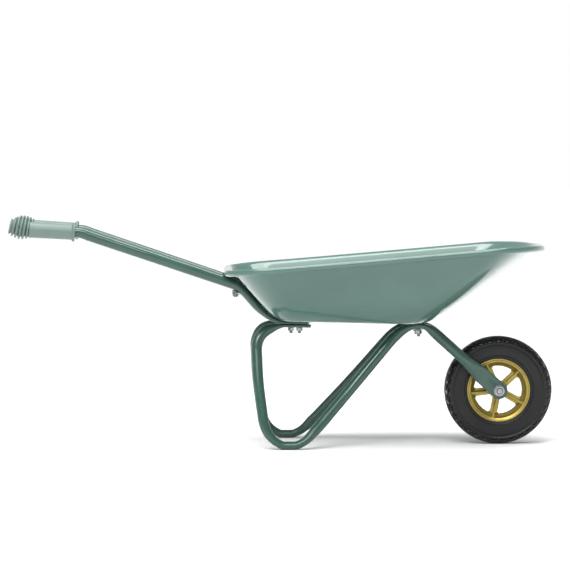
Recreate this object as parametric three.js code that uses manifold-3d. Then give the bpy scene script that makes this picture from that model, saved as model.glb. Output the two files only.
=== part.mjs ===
// A small steel garden wheelbarrow for a child: a pressed tray on two bent leg
// tubes that run forward into a fork, two bent handle tubes with moulded grips,
// and a spoked wheel on a bolt axle.  Millimetres, +Z up, +X toward the wheel,
// +Y to the left of someone pushing it.  The feet and the tyre touch z = 0.
import * as THREE from 'three';
import * as BufferGeometryUtils from 'three/addons/utils/BufferGeometryUtils.js';
import Module from 'manifold-3d';

const wasm = await Module();
wasm.setup();

// ---------------------------------------------------------------- dimensions
const GAP = 0.3;               // clearance between touching pieces
const SHEET = 1.0;             // tray sheet thickness
const TUBE_R = 8;              // 16 mm steel tube
const TUBE_WALL = 1.2;
const FLOOR_Z0 = 184.4;        // underside of the tray floor at x = 0
const FLOOR_SLOPE = -0.0178;   // the floor falls slightly toward the wheel
const BEAD_R = 4.6;            // rolled tray edge
const WIRE_R = 2.9;            // wire inside the rolled edge
const HANDLE_Y = 50;           // handle tubes where they meet the tray
const LEG_PLATE_Y = 50;
const FORK_BOLT_X = 201.5;
const FORK_BOLT_Y = 34;
const REAR_BOLT_X = [12.6, 24.8];
const PLATE_T = 3;             // flattened handle end
const LEG_PLATE_T = 5;         // flattened leg end
const FORK_SEAT_T = 9;         // leg tube pressed flat under the front bolt
const AXLE = { x: 321.2, z: 80 };
const FORK_Y = 26;             // middle of the flattened fork ends
const FORK_T = 3;
const WHEEL_R = 80;
const TYRE_HALF = 20;
const RIM_LIP_R = 47;
const RIM_SEAT_R = 43;
const WINDOW_R = 36;
const HUB_R = 13;
const HUB_HALF = 18;
const AXLE_R = 4;              // M8
const M5_R = 2.5;
const M5_AF = 8;
const M5_NUT_H = 4.7;
const M8_AF = 13;
const M8_NUT_H = 6.5;
const X_SHIFT = 0.34;          // centres the whole length on x = 0

const floorZ = (x) => FLOOR_Z0 + FLOOR_SLOPE * x;
const FLOOR_TILT = Math.atan(-FLOOR_SLOPE);

// ----------------------------------------------------------------- materials
const mat = (color, roughness, metalness) => new THREE.MeshStandardMaterial({ color, roughness, metalness });
const TRAY_GREEN = mat(0x6f8c84, 0.4, 0.1);
const TUBE_GREEN = mat(0x49695f, 0.35, 0.15);
const GRIP_SAGE = mat(0x8ba59d, 0.7, 0);
const ZINC = mat(0xc2c6c8, 0.3, 0.9);
const GOLD = mat(0xac9434, 0.4, 0.5);
const RUBBER = mat(0x26262a, 0.75, 0);
const WIRE = mat(0x8f9492, 0.5, 0.8);
const BUSH = mat(0x1d1f20, 0.6, 0);

// ------------------------------------------------------------ mesh utilities
function fromArrays(pos, idx) {
  let vol = 0;
  for (let i = 0; i < idx.length; i += 3) {
    const [a, b, c] = [idx[i] * 3, idx[i + 1] * 3, idx[i + 2] * 3];
    vol += pos[a] * (pos[b + 1] * pos[c + 2] - pos[b + 2] * pos[c + 1])
      - pos[a + 1] * (pos[b] * pos[c + 2] - pos[b + 2] * pos[c])
      + pos[a + 2] * (pos[b] * pos[c + 1] - pos[b + 1] * pos[c]);
  }
  const index = vol < 0 ? idx.map((_, i) => idx[i - (i % 3) + [0, 2, 1][i % 3]]) : idx;
  const g = new THREE.BufferGeometry();
  g.setAttribute('position', new THREE.Float32BufferAttribute(pos, 3));
  g.setIndex(index);
  return g;
}

// Skin over rings of equal length; a ring of one point closes an end.
function skin(rings) {
  const pos = [], idx = [], start = [];
  for (const ring of rings) {
    start.push(pos.length / 3);
    for (const p of ring) pos.push(...p);
  }
  for (let r = 0; r + 1 < rings.length; r++) {
    const a = rings[r].length, b = rings[r + 1].length, n = Math.max(a, b);
    for (let i = 0; i < n; i++) {
      const j = (i + 1) % n;
      if (a === 1) idx.push(start[r], start[r + 1] + i, start[r + 1] + j);
      else if (b === 1) idx.push(start[r] + j, start[r] + i, start[r + 1]);
      else {
        idx.push(start[r] + j, start[r] + i, start[r + 1] + i);
        idx.push(start[r] + j, start[r + 1] + i, start[r + 1] + j);
      }
    }
  }
  return fromArrays(pos, idx);
}

const centre = (ring) => {
  const c = [0, 0, 0];
  for (const p of ring) for (let k = 0; k < 3; k++) c[k] += p[k] / ring.length;
  return [c];
};

function solid(geometry) {
  let g = geometry.clone();
  if (g.attributes.normal) g.deleteAttribute('normal');
  if (g.attributes.uv) g.deleteAttribute('uv');
  g = BufferGeometryUtils.mergeVertices(g, 1e-4);
  return new wasm.Manifold(new wasm.Mesh({
    numProp: 3,
    vertProperties: new Float32Array(g.attributes.position.array),
    triVerts: new Uint32Array(g.index.array),
  }));
}

function geometryOf(manifold) {
  const m = manifold.getMesh();
  const pos = [];
  for (let i = 0; i < m.numVert; i++) for (let k = 0; k < 3; k++) pos.push(m.vertProperties[i * m.numProp + k]);
  const g = new THREE.BufferGeometry();
  g.setAttribute('position', new THREE.Float32BufferAttribute(pos, 3));
  g.setIndex(Array.from(m.triVerts));
  return g;
}

const cut = (geometry, tools) => geometryOf(tools.reduce((m, t) => m.subtract(solid(t)), solid(geometry)));

// Geometry made along local +Y (as three.js lathes and cylinders are), turned
// so that +Y points along dir, and moved to the point at.
function along(geometry, at, dir) {
  const q = new THREE.Quaternion().setFromUnitVectors(new THREE.Vector3(0, 1, 0), new THREE.Vector3(...dir).normalize());
  return geometry.clone().applyQuaternion(q).translate(...at);
}

// Closed body turned about Y, with shared vertices and its faces outward.
function lathe(profile, seg) {
  const g = new THREE.LatheGeometry(profile.map((p) => new THREE.Vector2(...p)), seg);
  g.deleteAttribute('normal');
  g.deleteAttribute('uv');
  const merged = BufferGeometryUtils.mergeVertices(g, 1e-4);
  const idx = [];
  const src = merged.index.array;
  for (let i = 0; i < src.length; i += 3) {
    if (src[i] !== src[i + 1] && src[i + 1] !== src[i + 2] && src[i] !== src[i + 2]) idx.push(src[i], src[i + 1], src[i + 2]);
  }
  return fromArrays(Array.from(merged.attributes.position.array), idx);
}
const drill = (at, dir, r, depth, seg = 10) => along(new THREE.CylinderGeometry(r, r, depth, seg), at, dir);

// ---------------------------------------------------------------- bent tubes
// A station is [x, y, z, a, b, e]: the middle of the tube, half its width
// across the barrow, half its height in the bending plane, and how square the
// section is (1 round, toward 0.4 a flat plate).  A seventh entry fixes the
// tube's direction there, as under the feet, which are flat on the ground.
const SIDES = 10;
function section(station, t, inset) {
  const [x, y, z, a, b, e] = station;
  const tan = new THREE.Vector3(...t).normalize();
  const lat = new THREE.Vector3(0, 1, 0).addScaledVector(tan, -tan.y).normalize();
  const up = new THREE.Vector3().crossVectors(tan, lat).normalize();
  const ring = [];
  const k = Math.cos(Math.PI / SIDES);
  const aa = Math.max(a - inset, 0.35), bb = Math.max(b - inset, 0.35);
  for (let i = 0; i < SIDES; i++) {
    const th = (i / SIDES) * 2 * Math.PI;          // a flat lies at the top and the bottom
    const c = Math.cos(th), s = Math.sin(th);
    const u = (aa * Math.sign(c) * Math.abs(c) ** e) / k ** e;
    const v = (bb * Math.sign(s) * Math.abs(s) ** e) / k ** e;
    ring.push([x + lat.x * u + up.x * v, y + lat.y * u + up.y * v, z + lat.z * u + up.z * v]);
  }
  return ring;
}

function tangents(st) {
  return st.map((own, i) => {
    if (own[6]) return own[6];
    const d = (p, q) => new THREE.Vector3(q[0] - p[0], q[1] - p[1], q[2] - p[2]).normalize();
    const v = new THREE.Vector3();
    if (i > 0) v.add(d(st[i - 1], st[i]));
    if (i + 1 < st.length) v.add(d(st[i], st[i + 1]));
    return v.normalize().toArray();
  });
}

// Tube with its bore open at the first station and closed at station boreEnd.
function tube(st, boreEnd) {
  const t = tangents(st);
  const outer = st.map((s, i) => section(s, t[i], 0));
  const inner = st.slice(0, boreEnd + 1).map((s, i) => section(s, t[i], TUBE_WALL));
  return skin([centre(inner[boreEnd]), ...inner.reverse(), ...outer, centre(outer[outer.length - 1])]);
}

const mirrorY = (st) => st.map(([x, y, z, a, b, e, t]) => [x, -y, z, a, b, e, t]);

// ------------------------------------------------------------ handle tubes
const handleY = (x) => HANDLE_Y + Math.max(0, -64 - x) * (22 / 336);
const hz = (x) => floorZ(x) - GAP - PLATE_T / 2;
const HANDLE = [
  [-382.4, 0, 320.4, 8, 8, 1],
  [-304.6, 0, 315.8, 8, 8, 1],
  [-297.0, 0, 315.3, 8, 8, 1],
  [-291.0, 0, 313.7, 8, 8, 1],
  [-284.5, 0, 311.1, 8, 8, 1],
  [-178.0, 0, 275.2, 8, 8, 1],
  [-73.6, 0, 239.9, 8, 8, 1],
  [-69.0, 0, 238.1, 8, 7.9, 1],
  [-64.6, 0, 235.3, 8.1, 7.5, 1],
  [-58.2, 0, 229.6, 8.5, 6.7, 1],
  [-44.5, 0, 214.5, 8.7, 6.7, 1],
  [-37.0, 0, 205.8, 8.9, 6.4, 0.95],
  [-28.9, 0, 197.8, 9.3, 5.4, 0.9],
  [-18.6, 0, 190.2, 10, 4.2, 0.8],
  [-6.8, 0, 184.9, 11, 2.6, 0.6],
  [3.5, 0, hz(3.5), 11.4, 1.5, 0.4],
  [31.0, 0, hz(31), 11.4, 1.5, 0.4],
  [35.4, 0, hz(35.4), 9.8, 1.5, 0.4],
  [38.0, 0, hz(38), 6.0, 1.5, 0.4],
].map(([x, , z, a, b, e]) => [x, handleY(x), z, a, b, e]);
const HANDLE_BORE_END = 11;

// --------------------------------------------------------- leg and fork tubes
const lz = (x) => floorZ(x) - GAP - PLATE_T - GAP - LEG_PLATE_T / 2;
const fz = (x, b) => floorZ(x) - GAP - b;
const LEG = [
  [41.7, 50, lz(41.7), 6.5, 2.5, 0.5],
  [39.2, 50, lz(39.2), 9.8, 2.5, 0.45],
  [34.5, 50, lz(34.5), 11.2, 2.5, 0.45],
  [4.0, 50, lz(4), 11.2, 2.5, 0.5],
  [-8.4, 51.0, 176.4, 9.7, 4.4, 0.8],
  [-18.7, 53.5, 173.4, 8.4, 7.2, 1],
  [-28.3, 57.5, 168.0, 8, 8, 1],
  [-34.4, 61.0, 160.0, 8, 8, 1],
  [-37.5, 64.0, 151.4, 8, 8, 1],
  [-38.4, 67.0, 142.0, 8, 8, 1],
  [-36.3, 83.0, 99.1, 8, 8, 1],
  [-29.9, 101.0, 46.7, 8, 8, 1],
  [-26.4, 105.0, 31.6, 8.3, 7.4, 1],
  [-20.2, 107.2, 20.2, 8.7, 6.8, 1],
  [-10.0, 108.0, 11.0, 9, 6.2, 1],
  [2.0, 108.0, 6.0, 9, 6, 1, [1, 0, 0]],
  [16.0, 108.0, 6.0, 9, 6, 1, [1, 0, 0]],
  [27.7, 107.0, 10.0, 9, 6.2, 1],
  [36.8, 103.6, 16.6, 8.7, 6.8, 1],
  [44.7, 99.0, 24.9, 8.3, 7.6, 1],
  [58.3, 88.5, 39.0, 8, 8, 1],
  [101.9, 61.0, 88.0, 8, 8, 1],
  [155.6, 39.5, 150.2, 8, 8, 1],
  [166.5, 36.2, 161.6, 8, 7.9, 1],
  [176.5, 34.6, 169.4, 8.4, 7.0, 1],
  [187.0, 34.0, 174.2, 9.4, 5.2, 0.8],
  [194.5, 34.0, fz(194.5, 4.5), 9.8, 4.5, 0.7],
  [209.0, 34.0, fz(209, 4.5), 9.8, 4.5, 0.7],
  [217.5, 34.0, 172.0, 9, 6.2, 0.9],
  [226.0, 34.0, 165.6, 8.2, 7.8, 1],
  [234.0, 34.0, 158.3, 8, 8, 1],
  [263.9, 32.8, 131.4, 8, 8, 1],
  [277.0, 30.6, 119.6, 6.6, 9.4, 0.95],
  [289.0, 28.0, 108.8, 3.6, 11.4, 0.75],
  [299.0, 26.0, 99.8, 1.5, 12.3, 0.45],
  [321.2, 26.0, 80.0, 1.5, 12.3, 0.45],
  [327.4, 26.0, 74.5, 1.5, 10.9, 0.45],
  [330.9, 26.0, 71.3, 1.5, 6.6, 0.45],
];
const LEG_BORE_END = 32;

// ----------------------------------------------------------------- the tray
// Height of the top of the rolled edge along the barrow.
const RIM = [[-90, 260.6], [-63, 263.4], [22, 270.2], [166, 282.4], [281, 292.4], [330, 296.4], [360, 297], [395, 295.4]];
function rimZ(x) {
  let i = 0;
  while (i + 2 < RIM.length && x > RIM[i + 1][0]) i++;
  const [x0, z0] = RIM[i], [x1, z1] = RIM[i + 1];
  return z0 + ((z1 - z0) * (x - x0)) / (x1 - x0);
}

// Plan outline: straight back with round corners, straight sides, and a bowed
// front drawn as a superellipse.
const SIDE_STEPS = 5, FRONT_STEPS = 7, CORNER_STEPS = 4, BACK_STEPS = 2;
function outline({ back, front, half, corner, frontStart, n }) {
  const pts = [];
  const x0 = back + corner;
  for (let i = 0; i < SIDE_STEPS; i++) pts.push([x0 + ((frontStart - x0) * i) / SIDE_STEPS, half, 0, 1]);
  for (let i = 0; i <= FRONT_STEPS; i++) {
    const th = (i / FRONT_STEPS) * Math.PI / 2;
    const c = Math.cos(th), s = Math.sin(th);
    const rx = front - frontStart;
    const px = rx * s ** (2 / n), py = half * c ** (2 / n);
    const nx = (px / rx) ** (n - 1) / rx, ny = (py / half) ** (n - 1) / half;
    const l = Math.hypot(nx, ny);
    pts.push([frontStart + px, py, nx / l, ny / l]);
  }
  const rear = [];
  for (let i = 0; i <= BACK_STEPS; i++) rear.push([back, ((half - corner) * i) / BACK_STEPS, -1, 0]);
  for (let i = 1; i < CORNER_STEPS; i++) {
    const th = (i / CORNER_STEPS) * Math.PI / 2;
    rear.push([back + corner - corner * Math.cos(th), half - corner + corner * Math.sin(th), -Math.cos(th), Math.sin(th)]);
  }
  const left = [...rear, ...pts];                 // from the middle of the back to the middle of the front
  const right = left.slice(1, -1).reverse().map(([x, y, nx, ny]) => [x, -y, nx, -ny]);
  return [...left, ...right];
}
const FLAT = outline({ back: 6.8, front: 208, half: 72, corner: 12, frontStart: 176, n: 2.6 });
const FOOT = outline({ back: -8.5, front: 222, half: 95, corner: 32, frontStart: 168, n: 2.6 });
const TOP = outline({ back: -71, front: 373.5, half: 154.9, corner: 56, frontStart: 298, n: 2.25 });
const BEAD_OUT = 10.5;           // wall top to the middle of the rolled edge
const WALL_TOP_DROP = 5;         // wall top below the top of the rolled edge

function trayRings() {
  const rings = [[[100, 0, floorZ(100) + SHEET]]];
  const at = (f) => FLAT.map((_, i) => f(i));
  const p0 = at((i) => [FLAT[i][0], FLAT[i][1], floorZ(FLAT[i][0]) + SHEET]);
  const p1 = at((i) => [FOOT[i][0], FOOT[i][1], floorZ(FOOT[i][0]) + SHEET]);
  const top = at((i) => [TOP[i][0], TOP[i][1], rimZ(TOP[i][0]) - WALL_TOP_DROP]);
  const p2 = at((i) => p1[i].map((v, k) => v + (top[i][k] - v) * 0.34));
  rings.push(p0);
  for (const v of [0.25, 0.5, 0.75, 1]) rings.push(at((i) => p0[i].map((_, k) => (1 - v) ** 2 * p0[i][k] + 2 * v * (1 - v) * p1[i][k] + v * v * p2[i][k])));
  rings.push(top);
  const out = (i, d, z) => {
    const x = TOP[i][0] + TOP[i][2] * d, y = TOP[i][1] + TOP[i][3] * d;
    return [x, y, rimZ(x) + z];
  };
  rings.push(at((i) => out(i, 2.4, -2.5)));
  rings.push(at((i) => out(i, 5.6, -0.6)));
  for (let k = 0; k <= 8; k++) {
    const th = Math.PI / 2 - (k / 8) * (Math.PI * 1.42);
    rings.push(at((i) => out(i, BEAD_OUT + BEAD_R * Math.cos(th), -BEAD_R + BEAD_R * Math.sin(th))));
  }
  return rings;
}

function sheetOf(rings) {
  const g = skin(rings);
  const ref = g.clone();
  ref.computeVertexNormals();
  const nor = ref.attributes.normal, pos = g.attributes.position, count = pos.count;
  // The outward side of the inner skin: down and out of the bowl.
  const down = nor.getZ(0) < 0 ? 1 : -1;
  const p = [], idx = [];
  for (let i = 0; i < count; i++) p.push(pos.getX(i), pos.getY(i), pos.getZ(i));
  for (let i = 0; i < count; i++) {
    p.push(pos.getX(i) + nor.getX(i) * down * SHEET, pos.getY(i) + nor.getY(i) * down * SHEET, pos.getZ(i) + nor.getZ(i) * down * SHEET);
  }
  const tri = Array.from(g.index.array);
  for (let i = 0; i < tri.length; i += 3) {
    idx.push(tri[i], tri[i + 1], tri[i + 2]);
    idx.push(tri[i] + count, tri[i + 2] + count, tri[i + 1] + count);
  }
  // Close the lip of the rolled edge, turning with the boundary of the skin.
  const edges = new Map();
  for (let i = 0; i < tri.length; i += 3) for (let k = 0; k < 3; k++) edges.set(`${tri[i + k]},${tri[i + (k + 1) % 3]}`, [tri[i + k], tri[i + (k + 1) % 3]]);
  for (const [a, b] of edges.values()) {
    if (!edges.has(`${b},${a}`)) {
      idx.push(b, a, a + count);
      idx.push(b, a + count, b + count);
    }
  }
  return fromArrays(p, idx);
}

function wireRing() {
  const C = BEAD_OUT;
  const rings = [];
  const n = TOP.length;
  for (let i = 0; i < n; i++) {
    const x = TOP[i][0] + TOP[i][2] * C, y = TOP[i][1] + TOP[i][3] * C, z = rimZ(x) - BEAD_R;
    const ring = [];
    for (let k = 0; k < 6; k++) {
      const th = (k / 6) * 2 * Math.PI;
      ring.push([x + TOP[i][2] * WIRE_R * Math.cos(th), y + TOP[i][3] * WIRE_R * Math.cos(th), z + WIRE_R * Math.sin(th)]);
    }
    rings.push(ring);
  }
  const pos = rings.flat(2), idx = [];
  for (let r = 0; r < n; r++) {
    const s = (r + 1) % n;
    for (let i = 0; i < 6; i++) {
      const j = (i + 1) % 6;
      idx.push(r * 6 + j, r * 6 + i, s * 6 + i, r * 6 + j, s * 6 + i, s * 6 + j);
    }
  }
  return fromArrays(pos, idx);
}

// -------------------------------------------------------------------- grips
// Rings along the grip: distance from the flange face, radius, lift of the
// ring's middle above the axis, and the tilt of the ring.
function grip(sign) {
  const at = new THREE.Vector3(-304.6, sign * handleY(-304.6), 315.8);
  const end = new THREE.Vector3(-399.7, sign * handleY(-399.7), 321.4);
  const u = end.clone().sub(at).normalize();
  const lat = new THREE.Vector3(0, 1, 0).addScaledVector(u, -u.y).normalize();
  const up = new THREE.Vector3().crossVectors(lat, u).normalize();
  if (up.z < 0) up.negate();
  const SEG = 12;
  const ring = (d, r, lift = 0, tilt = 0) => {
    const pts = [];
    const ax = u.clone().multiplyScalar(Math.cos(tilt)).addScaledVector(up, Math.sin(tilt));
    const v = up.clone().multiplyScalar(Math.cos(tilt)).addScaledVector(u, -Math.sin(tilt));
    for (let i = 0; i < SEG; i++) {
      const th = (i / SEG) * 2 * Math.PI;
      const p = at.clone().addScaledVector(u, d).addScaledVector(up, lift)
        .addScaledVector(lat, r * Math.cos(th)).addScaledVector(v, r * Math.sin(th));
      pts.push(p.toArray());
    }
    return ax && pts;
  };
  const bore = (TUBE_R / Math.cos(Math.PI / SIDES) + GAP) / Math.cos(Math.PI / SEG);
  const rings = [ring(79, bore), ring(0, bore)];
  rings.push(ring(0, 13.4), ring(1, 13.9), ring(2.6, 13.9), ring(3.6, 13.0), ring(4.6, 11.7), ring(6, 11.1));
  rings.push(ring(64, 11.5), ring(66.5, 11.9));
  const RIBS = [[69.4, 13.2, 0.1], [74.4, 15.2, 0.6], [79.4, 16.2, 1.2], [84.4, 15.8, 2.2], [89.4, 14.2, 3.2]];
  RIBS.forEach(([d, r, lift], i) => {
    const tilt = 0.1 + 0.02 * i;
    rings.push(ring(d - 1.5, r - 2.6, lift, tilt), ring(d - 0.9, r - 0.3, lift, tilt), ring(d + 0.9, r - 0.3, lift, tilt), ring(d + 1.5, r - 2.6, lift, tilt));
  });
  rings.push(ring(92.4, 10.4, 3.6, 0.18), ring(93.4, 11.6, 3.8, 0.18), ring(94.8, 11.2, 3.9, 0.18), ring(95.6, 9.4, 4.0, 0.18));
  return skin([centre(rings[0]), ...rings, centre(rings[rings.length - 1])]);
}

// ---------------------------------------------------------------- fasteners
// Domed bolt: head above y = 0, shank below it.
const domedBolt = (r, length, headR, headH) => lathe([
  [0, -length], [r - 0.5, -length], [r, -length + 0.6], [r, 0], [headR, 0], [headR * 0.93, headH * 0.45], [headR * 0.62, headH * 0.86], [0, headH],
], 10);
const hexNut = (af, h, bore) => {
  const g = new THREE.CylinderGeometry(af / Math.sqrt(3), af / Math.sqrt(3), h, 6);
  return cut(g, [new THREE.CylinderGeometry(bore, bore, h + 2, 12)]);
};
const ringOf = (rIn, rOut, h, seg = 12) => lathe([[rIn, -h / 2], [rOut, -h / 2], [rOut, h / 2], [rIn, h / 2], [rIn, -h / 2]], seg);
const hexBolt = (af, headH, r, length) => {
  const head = new THREE.CylinderGeometry(af / Math.sqrt(3), af / Math.sqrt(3), headH, 6).translate(0, headH / 2, 0);
  const shank = lathe([[0, 1], [r, 1], [r, -length + 0.8], [r - 0.7, -length], [0, -length]], 14);
  return geometryOf(solid(head).add(solid(shank)));
};

// ------------------------------------------------------------------ assembly
const barrow = new THREE.Group();
const place = (name, geometry, material, parent = barrow) => {
  const mesh = new THREE.Mesh(geometry, material);
  mesh.name = name;
  parent.add(mesh);
  return mesh;
};

const down = [-Math.sin(FLOOR_TILT), 0, -Math.cos(FLOOR_TILT)];
const step = (p, d, s) => [p[0] + d[0] * s, p[1] + d[1] * s, p[2] + d[2] * s];

// Bolt through the back wall and the bend of each handle tube.
const WALL_AXIS = [-0.616, 0, -0.788];
const WALL_NUT = [-68.2, 226.1];
const wallPoint = (y, s) => [WALL_NUT[0] - WALL_AXIS[0] * s, y, WALL_NUT[1] - WALL_AXIS[2] * s];
const wallY = HANDLE_Y;

const trayHoles = [], holesHandle = {}, holesLeg = {};
for (const [side, sign] of [['left', 1], ['right', -1]]) {
  holesHandle[side] = [drill(wallPoint(sign * wallY, 9.4), WALL_AXIS, M5_R + 0.4, 24)];
  holesLeg[side] = [];
  trayHoles.push(drill(wallPoint(sign * wallY, 18.2), WALL_AXIS, M5_R + 0.5, 6));
  for (const x of REAR_BOLT_X) {
    trayHoles.push(drill([x, sign * LEG_PLATE_Y, floorZ(x) + 0.5], down, M5_R + 0.4, 8));
    holesHandle[side].push(drill([x, sign * LEG_PLATE_Y, hz(x)], down, M5_R + 0.4, 8));
    holesLeg[side].push(drill([x, sign * LEG_PLATE_Y, lz(x)], down, M5_R + 0.4, 12));
  }
  trayHoles.push(drill([FORK_BOLT_X, sign * FORK_BOLT_Y, floorZ(FORK_BOLT_X) + 0.5], down, M5_R + 0.4, 8));
  holesLeg[side].push(drill([FORK_BOLT_X, sign * FORK_BOLT_Y, fz(FORK_BOLT_X, 4.5)], down, M5_R + 0.4, 16));
  holesLeg[side].push(drill([AXLE.x, sign * FORK_Y, AXLE.z], [0, 1, 0], AXLE_R + 0.4, 10, 14));
}

place('tray', cut(sheetOf(trayRings()), trayHoles), TRAY_GREEN);
place('rim_wire', wireRing(), WIRE);

for (const [side, sign] of [['left', 1], ['right', -1]]) {
  const flip = (st) => (sign > 0 ? st : mirrorY(st));
  place(`handle_${side}`, cut(tube(flip(HANDLE), HANDLE_BORE_END), holesHandle[side]), TUBE_GREEN);
  place(`grip_${side}`, grip(sign), GRIP_SAGE);
  place(`leg_fork_${side}`, cut(tube(flip(LEG), LEG_BORE_END), holesLeg[side]), TUBE_GREEN);

  // Back wall: domed head inside the tray, washer and nut under the handle.
  const y = sign * wallY;
  place(`wall_bolt_${side}`, along(domedBolt(M5_R, 26.5, 5.5, 2.8), wallPoint(y, 20.1), WALL_AXIS.map((v) => -v)), ZINC);
  place(`wall_washer_${side}`, along(ringOf(M5_R + GAP, 5.5, 1), wallPoint(y, 0.7), WALL_AXIS), ZINC);
  place(`wall_nut_${side}`, along(hexNut(M5_AF, M5_NUT_H, M5_R + GAP), wallPoint(y, -2.45), WALL_AXIS), ZINC);

  // Two bolts through floor, handle end and leg end.
  REAR_BOLT_X.forEach((x, i) => {
    const tag = ['rear', 'mid'][i];
    const head = step([x, sign * LEG_PLATE_Y, floorZ(x)], down, -(SHEET + GAP + 0.1));
    place(`floor_bolt_${tag}_${side}`, along(domedBolt(M5_R, 18.4, 5.5, 2.8), head, down.map((v) => -v)), ZINC);
    const under = GAP + PLATE_T + GAP + LEG_PLATE_T + GAP;
    place(`floor_nut_${tag}_${side}`, along(hexNut(M5_AF, M5_NUT_H, M5_R + GAP), step([x, sign * LEG_PLATE_Y, floorZ(x)], down, under + M5_NUT_H / 2), down), ZINC);
  });

  // One bolt through floor and pressed leg tube, with a washer.
  const f = [FORK_BOLT_X, sign * FORK_BOLT_Y, floorZ(FORK_BOLT_X)];
  place(`fork_bolt_${side}`, along(domedBolt(M5_R, 21, 5.5, 2.8), step(f, down, -(SHEET + GAP)), down.map((v) => -v)), ZINC);
  const under = GAP + FORK_SEAT_T + GAP;
  place(`fork_washer_${side}`, along(ringOf(M5_R + GAP, 5.5, 1), step(f, down, under + 0.5), down), ZINC);
  place(`fork_nut_${side}`, along(hexNut(M5_AF, M5_NUT_H, M5_R + GAP), step(f, down, under + 1 + GAP + M5_NUT_H / 2), down), ZINC);
}

// Axle: hex bolt from the left, washer under its head and under the nut.
const plateOut = FORK_Y + FORK_T / 2;
const axlePoint = (y) => [AXLE.x, y, AXLE.z];
place('axle_washer_left', along(ringOf(AXLE_R + GAP, 8, 1.6), axlePoint(plateOut + GAP + 0.8), [0, 1, 0]), ZINC);
place('axle_bolt', along(hexBolt(M8_AF, 5.3, AXLE_R, 2 * plateOut + 13.8), axlePoint(plateOut + 2 * GAP + 1.6), [0, 1, 0]), ZINC);
place('axle_washer_right', along(ringOf(AXLE_R + GAP, 8, 1.6), axlePoint(-plateOut - GAP - 0.8), [0, 1, 0]), ZINC);
place('axle_nut', along(hexNut(M8_AF, M8_NUT_H, AXLE_R + GAP), axlePoint(-plateOut - 2 * GAP - 1.6 - M8_NUT_H / 2), [0, 1, 0]), ZINC);
for (const [side, sign] of [['left', 1], ['right', -1]]) {
  const a = HUB_HALF + 2.3 + GAP, b = FORK_Y - FORK_T / 2 - GAP;
  place(`axle_spacer_${side}`, along(ringOf(AXLE_R + GAP, 7, b - a), axlePoint(sign * (a + b) / 2), [0, 1, 0]), ZINC);
}

// ------------------------------------------------------------------- wheel
const wheel = new THREE.Group();
wheel.position.set(AXLE.x, 0, AXLE.z);
barrow.add(wheel);

const BUSH_R = 6;
function wheelRim() {
  const half = 17;
  const body = lathe([
    [BUSH_R + GAP, -HUB_HALF], [HUB_R, -HUB_HALF], [HUB_R + 1, -4], [WINDOW_R - 4, -3], [WINDOW_R + 1, -8], [WINDOW_R + 4, -half],
    [RIM_LIP_R, -half], [RIM_LIP_R, -half + 2.2], [RIM_SEAT_R, -half + 2.6],
    [RIM_SEAT_R, half - 2.6], [RIM_LIP_R, half - 2.2], [RIM_LIP_R, half],
    [WINDOW_R + 4, half], [WINDOW_R + 1, 8], [WINDOW_R - 4, 3], [HUB_R + 1, 4], [HUB_R, HUB_HALF], [BUSH_R + GAP, HUB_HALF], [BUSH_R + GAP, -HUB_HALF],
  ], 32);
  let m = solid(body);
  const SPOKE = 5.4;                              // half the width of a spoke
  for (let i = 0; i < 5; i++) {
    const mid = ((43 + 36 + 72 * i) * Math.PI) / 180;
    const h = Math.PI / 5;
    const rI = 16.5, rO = WINDOW_R - 0.5;
    // Window corners: parallel to the spokes on both sides of it.
    const ray = (r, sgn) => {
      const ang = Math.asin(SPOKE / r);
      return mid + sgn * (h - ang);
    };
    const shape = new THREE.Shape();
    const pts = [];
    const a0 = ray(rI, -1), a1 = ray(rI, 1), b0 = ray(rO, -1), b1 = ray(rO, 1);
    pts.push([rI * Math.cos(a0), rI * Math.sin(a0)], [rI * Math.cos(a1), rI * Math.sin(a1)]);
    for (let k = 0; k <= 6; k++) {
      const a = b1 + ((b0 - b1) * k) / 6;
      pts.push([rO * Math.cos(a), rO * Math.sin(a)]);
    }
    pts.forEach((p, k) => (k ? shape.lineTo(...p) : shape.moveTo(...p)));
    // The lathe turns about Y, so the shape (x, z) is extruded along Y.
    const g = new THREE.ExtrudeGeometry(shape, { depth: 40, bevelEnabled: false, curveSegments: 1 });
    g.translate(0, 0, -20).rotateX(-Math.PI / 2).scale(1, 1, -1);
    const flipped = BufferGeometryUtils.mergeVertices((() => { const q = g.clone(); q.deleteAttribute('normal'); q.deleteAttribute('uv'); return q; })(), 1e-4);
    const src = Array.from(flipped.index.array);
    m = m.subtract(solid(fromArrays(Array.from(flipped.attributes.position.array), src)));
    // Stiffening rib down the middle of the spoke.
    const spoke = ((43 + 72 * i) * Math.PI) / 180;
    const rib = new THREE.BoxGeometry(WINDOW_R - HUB_R + 5, 14, 2.6).translate((WINDOW_R + HUB_R) / 2, 0, 0).rotateY(-spoke);
    m = m.add(solid(rib));
  }
  return geometryOf(m);
}
const rimMesh = place('wheel_rim', wheelRim(), GOLD, wheel);
rimMesh.rotation.set(0, 0, 0);

const tyreProfile = [
  [RIM_SEAT_R + GAP, -14.0], [RIM_LIP_R + GAP, -14.2], [RIM_LIP_R + GAP, -17.4], [50.5, -18.8], [60, -TYRE_HALF], [68, -19.4], [74.5, -17.4], [78.6, -13],
  [WHEEL_R, -6], [WHEEL_R, 6],
  [78.6, 13], [74.5, 17.4], [68, 19.4], [60, TYRE_HALF], [50.5, 18.8], [RIM_LIP_R + GAP, 17.4], [RIM_LIP_R + GAP, 14.2], [RIM_SEAT_R + GAP, 14.0], [RIM_SEAT_R + GAP, -14.0],
];
place('tyre', lathe(tyreProfile, 36), RUBBER, wheel);

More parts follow.
